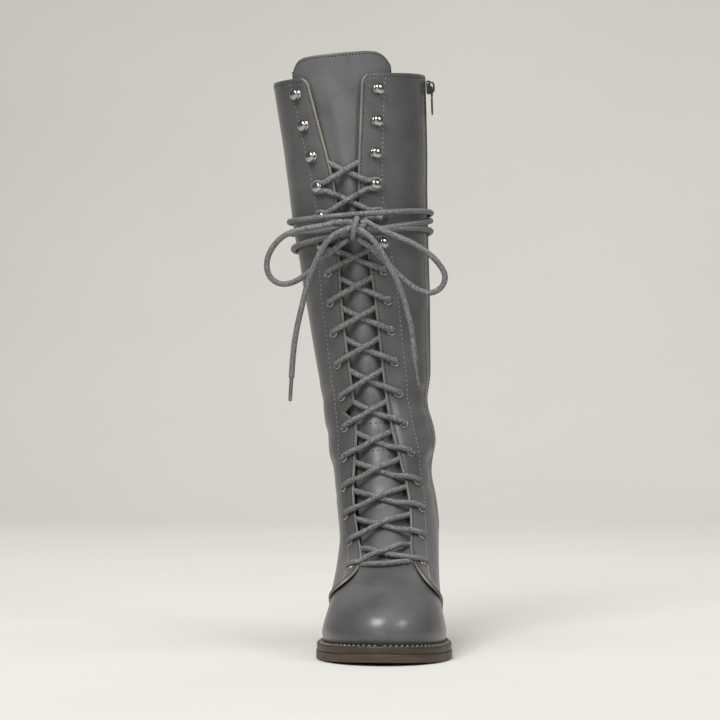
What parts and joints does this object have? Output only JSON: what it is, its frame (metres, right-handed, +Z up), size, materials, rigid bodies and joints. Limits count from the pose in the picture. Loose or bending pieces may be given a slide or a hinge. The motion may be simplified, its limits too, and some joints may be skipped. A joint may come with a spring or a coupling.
{
  "type": "tall lace-up boot",
  "caption": "Knee-high grey leather lace-up boot for the right foot: hollow derby upper, welted sole, block heel, tongue, hooks, eyelets, tied lace and a side zip.",
  "frame": {"origin": "on the floor under the middle of the heel", "axes": "+Z up the leg, -Y towards the toe, +X towards the inner side of the foot"},
  "size_m": [0.1454, 0.2821, 0.4391],
  "materials": {
    "leather": "smooth grey leather with a soft sheen",
    "welt": "dark brown edge-dyed leather",
    "outsole": "brown sole leather",
    "rubber": "matte rubber",
    "insole": "natural leather",
    "nickel": "polished nickel",
    "lace": "round waxed cord",
    "tape": "woven zip tape"
  },
  "bodies": {
    "boot": {"upper": "leather", "tongue": "leather", "welt": "welt", "heel_stack": "welt", "outsole": "outsole", "heel_top_piece": "rubber", "insole": "insole", "zip_slider": "nickel", "aglet_left": "nickel", "aglet_right": "nickel", "hook_lateral_01": "nickel", "hook_lateral_02": "nickel", "hook_lateral_03": "nickel", "hook_lateral_04": "nickel", "hook_lateral_05": "nickel", "hook_lateral_06": "nickel", "hook_medial_01": "nickel", "hook_medial_02": "nickel", "hook_medial_03": "nickel", "hook_medial_04": "nickel", "hook_medial_05": "nickel", "hook_medial_06": "nickel", "eyelet_lateral_07": "nickel", "eyelet_lateral_08": "nickel", "eyelet_lateral_09": "nickel", "eyelet_lateral_10": "nickel", "eyelet_lateral_11": "nickel", "eyelet_lateral_12": "nickel", "eyelet_lateral_13": "nickel", "eyelet_lateral_14": "nickel", "eyelet_lateral_15": "nickel", "eyelet_lateral_16": "nickel", "eyelet_lateral_17": "nickel", "eyelet_medial_07": "nickel", "eyelet_medial_08": "nickel", "eyelet_medial_09": "nickel", "eyelet_medial_10": "nickel", "eyelet_medial_11": "nickel", "eyelet_medial_12": "nickel", "eyelet_medial_13": "nickel", "eyelet_medial_14": "nickel", "eyelet_medial_15": "nickel", "eyelet_medial_16": "nickel", "eyelet_medial_17": "nickel", "lace_crossings": "lace", "lace_wraps": "lace", "lace_knot": "lace", "lace_loop_left": "lace", "lace_loop_right": "lace", "lace_end_left": "lace", "lace_end_right": "lace", "zip_tape": "tape"},
    "zip_pull": {"zip_pull_tab": "nickel"}
  },
  "joints": [
    {"name": "zip_pull_swing", "type": "hinge", "parent": "boot", "child": "zip_pull", "pos_m": [0.03608, -0.00183, 0.41518], "axis": [-0.0653, -0.9979, 0], "range_deg": [0, 170]}
  ]
}
